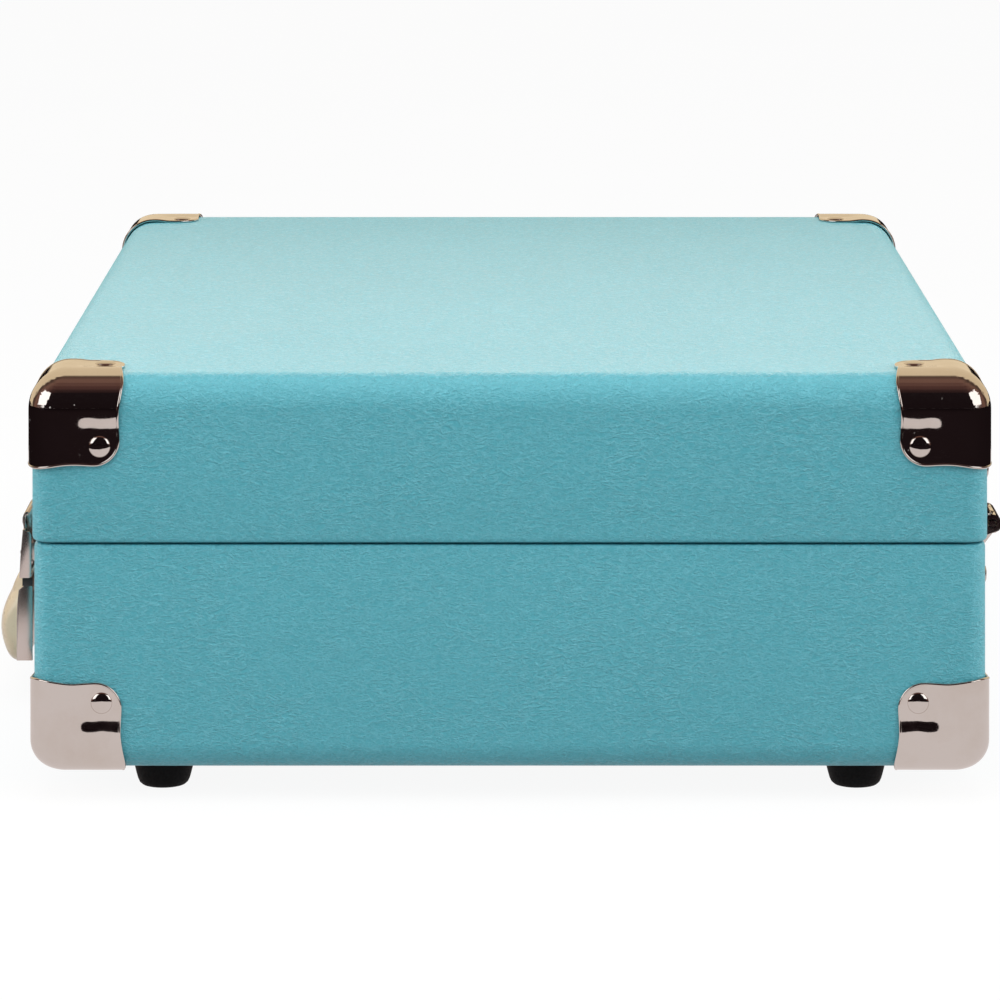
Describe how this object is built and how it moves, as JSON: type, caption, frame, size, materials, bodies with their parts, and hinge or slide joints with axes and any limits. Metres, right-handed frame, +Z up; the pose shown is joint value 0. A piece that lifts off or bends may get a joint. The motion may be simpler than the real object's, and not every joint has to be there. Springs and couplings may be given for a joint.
{
  "type": "portable record player",
  "caption": "Closed suitcase-style portable record player: leatherette box with a hinged lid, plated corners, draw latches, a drop handle and a turntable deck inside.",
  "frame": {"origin": "bottom centre of the bounding box, on the plane the feet stand on", "axes": "+X along the long side of the case, -Y out of the front with the latches and handle, +Z up"},
  "size_m": [0.3594, 0.2944, 0.1208],
  "materials": {
    "leatherette": "turquoise vinyl leatherette, fine pebbled grain, satin",
    "lining": "pale paper-backed cloth lining",
    "deck": "turquoise vinyl-covered deck board",
    "chrome": "bright plated pressed steel",
    "nickel": "satin nickel plate",
    "steel": "bare steel",
    "cream_plastic": "moulded cream plastic, soft gloss",
    "black_plastic": "moulded black plastic",
    "rubber": "moulded black rubber",
    "felt": "black felt slip mat",
    "aluminium": "satin aluminium",
    "circuit_board": "green circuit board",
    "red_plastic": "red moulded plastic",
    "brass": "turned brass"
  },
  "bodies": {
    "base": {"base_case": "leatherette", "deck_plate": "deck", "foot_front_left": "rubber", "foot_rear_left": "rubber", "foot_front_right": "rubber", "foot_rear_right": "rubber", "base_corner_front_left": "chrome", "base_corner_rear_left": "chrome", "base_corner_front_right": "chrome", "base_corner_rear_right": "chrome", "hinge_base_leaf_left": "nickel", "hinge_base_leaf_right": "nickel", "hinge_pin_left": "steel", "hinge_pin_right": "steel", "latch_plate_left": "nickel", "latch_plate_right": "nickel", "handle_bracket_left": "nickel", "handle_bracket_right": "nickel", "rear_panel": "black_plastic", "speaker_left": "black_plastic", "speaker_right": "black_plastic", "speaker_grille_left": "aluminium", "speaker_grille_right": "aluminium", "motor": "steel", "drive_belt": "rubber", "spindle_bearing": "steel", "tonearm_base": "black_plastic", "tonearm_rest": "black_plastic", "headphone_jack": "steel", "main_board": "circuit_board"},
    "lid": {"lid_case": "leatherette", "lid_lining": "lining", "lid_corner_front_left": "chrome", "lid_corner_rear_left": "chrome", "lid_corner_front_right": "chrome", "lid_corner_rear_right": "chrome", "hinge_lid_leaf_left": "nickel", "hinge_lid_leaf_right": "nickel", "latch_catch_left": "nickel", "latch_catch_right": "nickel"},
    "handle": {"handle_grip": "cream_plastic"},
    "latch_lever_left": {"latch_lever_left": "nickel"},
    "latch_tongue_left": {"latch_tongue_left": "nickel"},
    "latch_lever_right": {"latch_lever_right": "nickel"},
    "latch_tongue_right": {"latch_tongue_right": "nickel"},
    "platter": {"platter": "black_plastic", "platter_mat": "felt", "spindle": "steel"},
    "pulley": {"motor_pulley": "brass"},
    "tonearm_yoke": {"tonearm_yoke": "black_plastic"},
    "tonearm": {"tonearm_tube": "aluminium", "headshell": "black_plastic", "cartridge": "black_plastic", "stylus": "red_plastic"},
    "tonearm_clip": {"tonearm_clip": "black_plastic"},
    "cue_lever": {"cue_lever": "aluminium"},
    "speed_selector": {"speed_selector": "black_plastic"},
    "auto_stop_switch": {"auto_stop_switch": "black_plastic"},
    "volume_knob": {"volume_knob": "black_plastic"},
    "adapter_45": {"adapter_45": "aluminium"}
  },
  "joints": [
    {"name": "lid_hinge", "type": "hinge", "parent": "base", "child": "lid", "pos_m": [0, 0.14455, 0.0725], "axis": [-1, 0, 0], "range_deg": [0, 100]},
    {"name": "handle_swing", "type": "hinge", "parent": "base", "child": "handle", "pos_m": [0, -0.13315, 0.048], "axis": [-1, 0, 0], "range_deg": [0, 95]},
    {"name": "latch_lever_left", "type": "hinge", "parent": "base", "child": "latch_lever_left", "pos_m": [-0.143, -0.13015, 0.0657], "axis": [-1, 0, 0], "range_deg": [0, 100]},
    {"name": "latch_tongue_left", "type": "hinge", "parent": "latch_lever_left", "child": "latch_tongue_left", "pos_m": [-0.143, -0.13015, 0.0577], "axis": [-1, 0, 0], "range_deg": [-100, 0]},
    {"name": "latch_lever_right", "type": "hinge", "parent": "base", "child": "latch_lever_right", "pos_m": [0.143, -0.13015, 0.0657], "axis": [-1, 0, 0], "range_deg": [0, 100]},
    {"name": "latch_tongue_right", "type": "hinge", "parent": "latch_lever_right", "child": "latch_tongue_right", "pos_m": [0.143, -0.13015, 0.0577], "axis": [-1, 0, 0], "range_deg": [-100, 0]},
    {"name": "platter_spin", "type": "hinge", "parent": "base", "child": "platter", "pos_m": [-0.058, 0.01315, 0.07], "axis": [0, 0, -1], "continuous": true},
    {"name": "pulley_spin", "type": "hinge", "parent": "base", "child": "pulley", "pos_m": [0.00589, -0.03159, 0.07], "axis": [0, 0, -1], "continuous": true},
    {"name": "tonearm_swing", "type": "hinge", "parent": "base", "child": "tonearm_yoke", "pos_m": [0.1, 0.08915, 0.09], "axis": [0, 0, -1], "range_deg": [0, 47]},
    {"name": "tonearm_lift", "type": "hinge", "parent": "tonearm_yoke", "child": "tonearm", "pos_m": [0.1, 0.08915, 0.09], "axis": [-1, 0, 0], "range_deg": [0, 5]},
    {"name": "tonearm_clip", "type": "hinge", "parent": "base", "child": "tonearm_clip", "pos_m": [0.1066, -0.00885, 0.0938], "axis": [0, -1, 0], "range_deg": [0, 85]},
    {"name": "cue_lever", "type": "hinge", "parent": "base", "child": "cue_lever", "pos_m": [0.124, 0.05915, 0.0701], "axis": [-1, 0, 0], "range_deg": [0, 60]},
    {"name": "speed_selector", "type": "slide", "parent": "base", "child": "speed_selector", "axis": [0, 1, 0], "range_m": [-0.008, 0.008]},
    {"name": "auto_stop_switch", "type": "slide", "parent": "base", "child": "auto_stop_switch", "axis": [0, 1, 0], "range_m": [0, 0.004]},
    {"name": "volume_knob", "type": "hinge", "parent": "base", "child": "volume_knob", "pos_m": [0.152, -0.01485, 0.072], "axis": [0, 0, -1], "range_deg": [0, 300]},
    {"name": "adapter_45", "type": "slide", "parent": "base", "child": "adapter_45", "axis": [0, 0, 1], "range_m": [0, 0.012]}
  ],
  "couplings": [
    {"joint": "latch_tongue_left", "follows": "latch_lever_left", "ratio": -1},
    {"joint": "latch_tongue_right", "follows": "latch_lever_right", "ratio": -1},
    {"joint": "pulley_spin", "follows": "platter_spin", "ratio": 10},
    {"joint": "cue_lever", "follows": "tonearm_lift", "ratio": 12}
  ]
}
